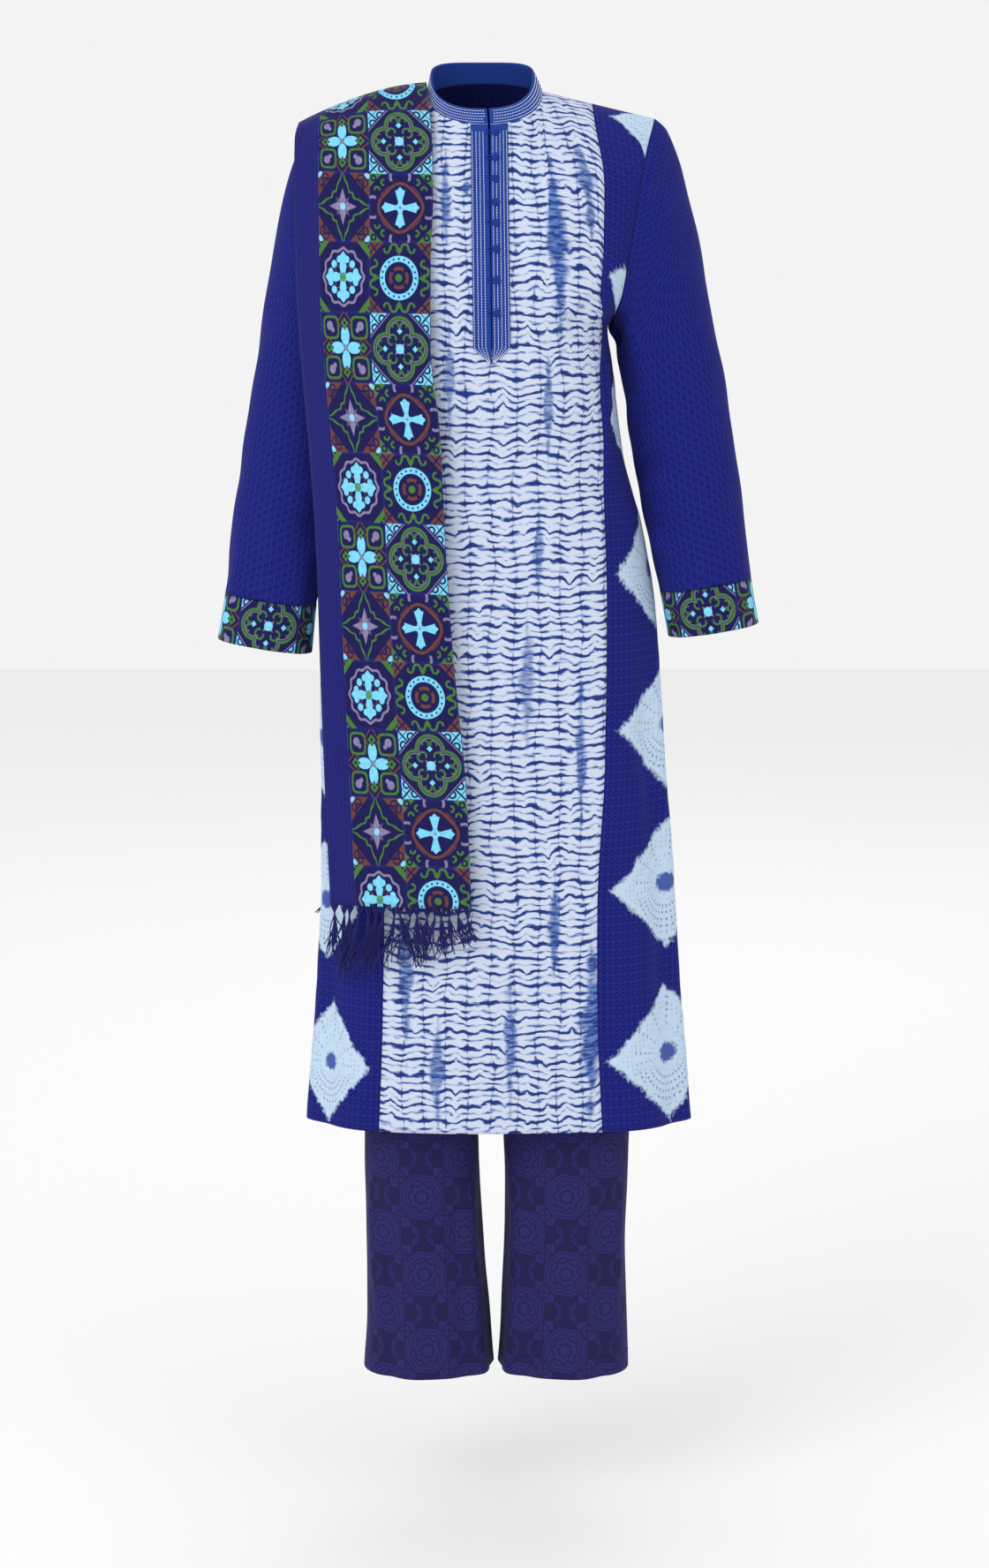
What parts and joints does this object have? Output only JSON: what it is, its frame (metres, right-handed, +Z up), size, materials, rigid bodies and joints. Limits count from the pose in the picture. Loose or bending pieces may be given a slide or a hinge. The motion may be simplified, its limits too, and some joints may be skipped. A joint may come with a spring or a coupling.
{
  "type": "salwar kameez suit",
  "caption": "Salwar kameez suit in its worn form: long A-line kameez with band collar and buttoned placket, straight trousers and a fringed dupatta over one shoulder.",
  "frame": {"origin": "where the neck rises from the shoulders, level with the kameez's side neck points; the shoulders carry the suit here", "axes": "+Z up along the body, front towards -Y, +X to the wearer's left"},
  "size_m": [0.582, 0.2635, 1.431],
  "materials": {
    "striped_cloth": "printed cotton, blue stripes on a pale ground, matt",
    "blue_cloth": "printed cotton, small oval repeat on royal blue, pale tie-dyed diamonds, matt",
    "royal_trim": "cotton with rows of white topstitching",
    "cuff_print": "printed cotton band, tile repeat",
    "button_cloth": "cloth-covered buttons",
    "trouser_cloth": "printed cotton, tone-on-tone medallions",
    "dupatta_cloth": "fine printed cotton, tile repeat with a woven striped border",
    "fringe_thread": "knotted cotton thread"
  },
  "bodies": {
    "root": {"kameez_front_centre": "striped_cloth", "kameez_side_right": "blue_cloth", "kameez_side_left": "blue_cloth", "kameez_back": "blue_cloth", "sleeve_right": "blue_cloth", "cuff_right": "cuff_print", "sleeve_left": "blue_cloth", "cuff_left": "cuff_print", "collar": "royal_trim", "placket_right": "royal_trim", "placket_left": "royal_trim", "button_1": "button_cloth", "button_2": "button_cloth", "button_3": "button_cloth", "button_4": "button_cloth", "button_5": "button_cloth", "button_6": "button_cloth", "button_7": "button_cloth", "button_8": "button_cloth", "trouser_left_front": "trouser_cloth", "trouser_left_back": "trouser_cloth", "trouser_right_front": "trouser_cloth", "trouser_right_back": "trouser_cloth", "waistband": "trouser_cloth", "dupatta_front": "dupatta_cloth", "dupatta_shoulder": "dupatta_cloth", "dupatta_back": "dupatta_cloth", "fringe_front": "fringe_thread", "fringe_back": "fringe_thread"}
  },
  "joints": []
}
